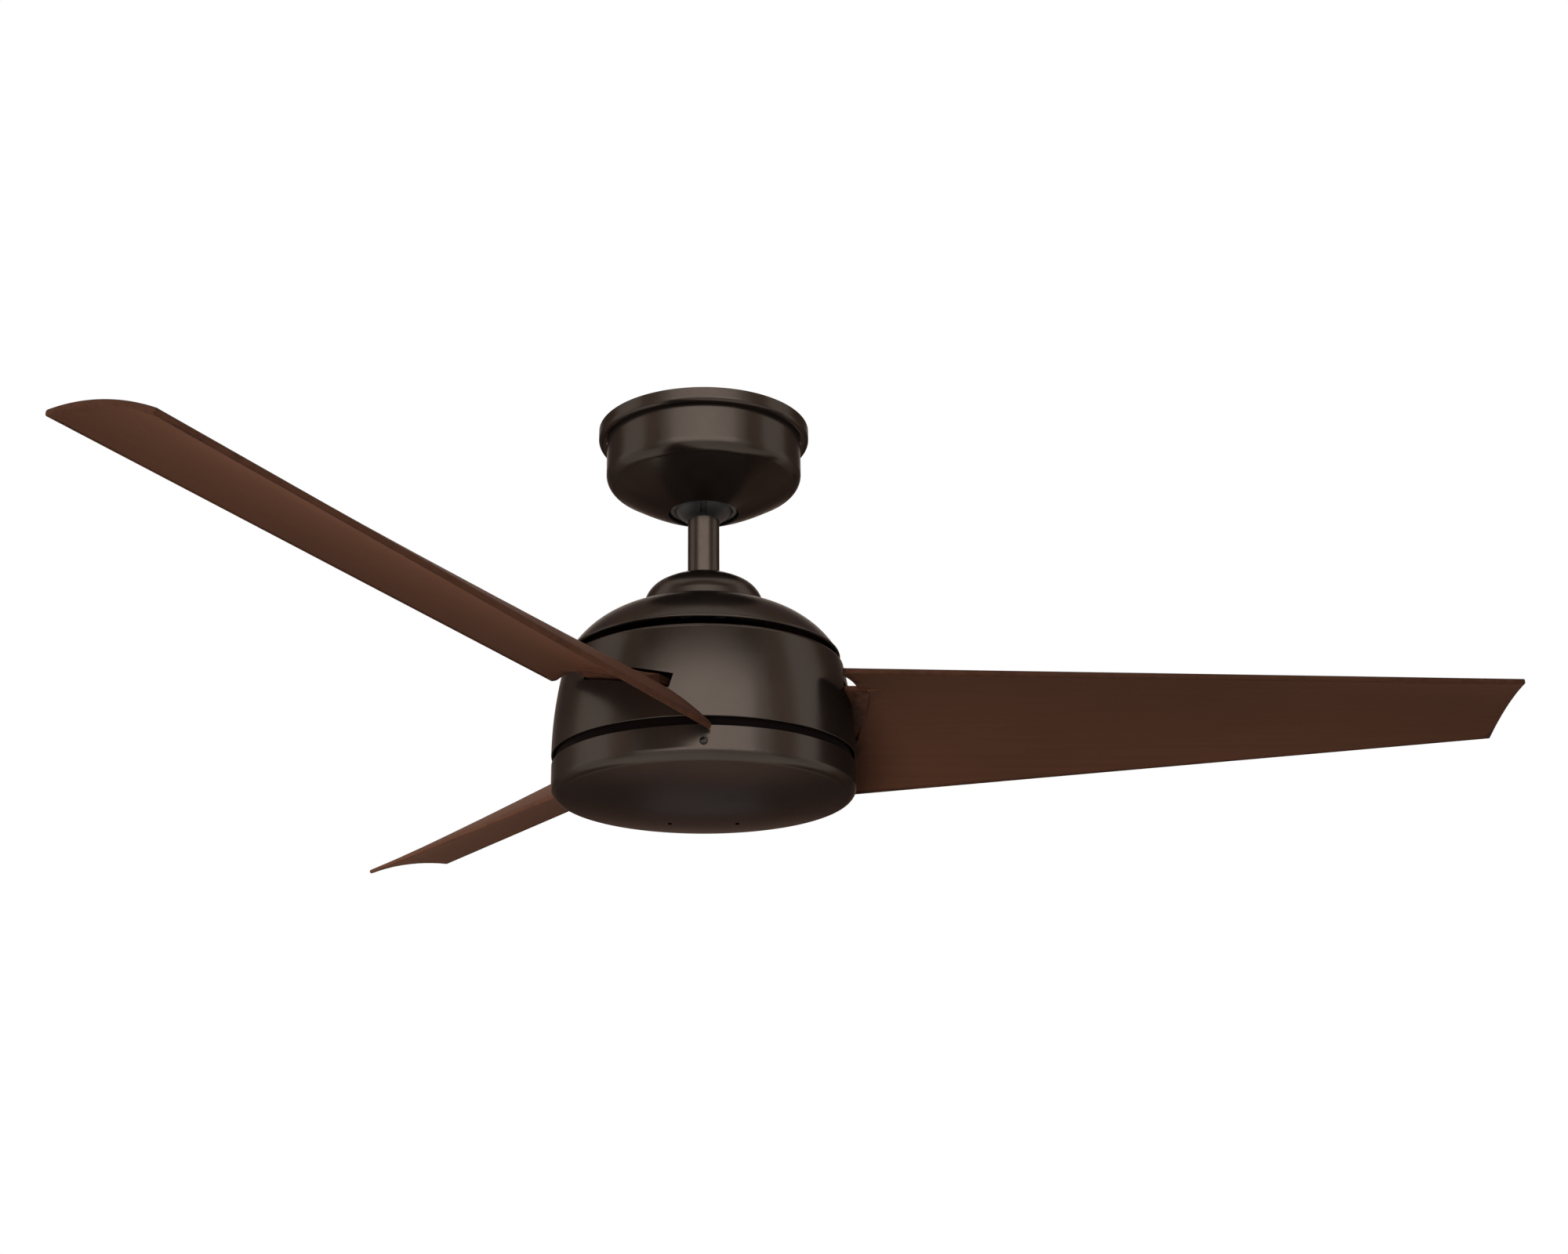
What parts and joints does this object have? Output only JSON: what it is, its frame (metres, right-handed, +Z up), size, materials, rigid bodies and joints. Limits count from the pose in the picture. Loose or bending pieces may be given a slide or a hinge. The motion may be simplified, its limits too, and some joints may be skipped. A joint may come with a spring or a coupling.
{
  "type": "ceiling fan",
  "caption": "Ceiling fan with a bowl canopy, a short downrod on a hanger ball, a domed drum motor housing and arched, tapered blades that enter inclined slots in a rotating band.",
  "frame": {"origin": "on the fan's axis at the ceiling plane, the top face of the hanger bracket", "axes": "+Z up to the ceiling along the rotor axis, -Y towards the viewer of the picture, +X to the right"},
  "size_m": [1.0341, 1.1844, 0.3374],
  "materials": {
    "bronze_paint": "satin dark bronze",
    "blade_brown": "satin chestnut brown",
    "zinc_steel": "zinc plated",
    "dark_screw": "black oxide",
    "bright_steel": "ground",
    "black_nylon": "moulded black",
    "grommet_rubber": "matte",
    "lamination_steel": "stamped",
    "copper_wire": "enamelled",
    "black_paint": "die cast, painted matt black"
  },
  "bodies": {
    "mount": {"hanger_bracket": "zinc_steel", "canopy": "bronze_paint", "canopy_trim_ring": "bronze_paint", "canopy_screws": "dark_screw"},
    "hanger": {"downrod": "bronze_paint", "coupling_cover": "bronze_paint", "upper_housing": "bronze_paint", "bottom_cap": "bronze_paint", "hanger_pin": "zinc_steel", "motor_coupling": "zinc_steel", "coupling_pin": "zinc_steel", "cotter_pin": "zinc_steel", "capacitor_clip": "zinc_steel", "ball_set_screw": "dark_screw", "coupling_set_screws": "dark_screw", "housing_screws": "dark_screw", "cap_screws": "dark_screw", "motor_shaft": "bright_steel", "upper_spacer": "bright_steel", "lower_spacer": "bright_steel", "upper_bearing_inner": "bright_steel", "lower_bearing_inner": "bright_steel", "shaft_nut": "bright_steel", "hanger_ball": "black_nylon", "run_capacitor": "black_nylon", "stator_core": "lamination_steel", "stator_windings": "copper_wire", "switch_housing": "black_paint"},
    "rotor": {"motor_band": "bronze_paint", "rotor_bolts": "dark_screw", "band_screws": "dark_screw", "blade_screws": "dark_screw", "upper_bearing_outer": "bright_steel", "lower_bearing_outer": "bright_steel", "upper_bearing_balls": "bright_steel", "lower_bearing_balls": "bright_steel", "blade_1": "blade_brown", "blade_2": "blade_brown", "blade_3": "blade_brown", "blade_grommets": "grommet_rubber", "rotor_ring": "lamination_steel", "rotor_upper_bell": "black_paint", "rotor_lower_bell": "black_paint", "blade_carrier": "black_paint"}
  },
  "joints": [
    {"name": "fan_swing", "type": "hinge", "parent": "mount", "child": "hanger", "pos_m": [0, 0, -0.054], "axis": [1, 0, 0], "range_deg": [-18, 18]},
    {"name": "rotor_spin", "type": "hinge", "parent": "hanger", "child": "rotor", "pos_m": [0, 0, -0.25], "axis": [0, 0, 1], "continuous": true}
  ]
}
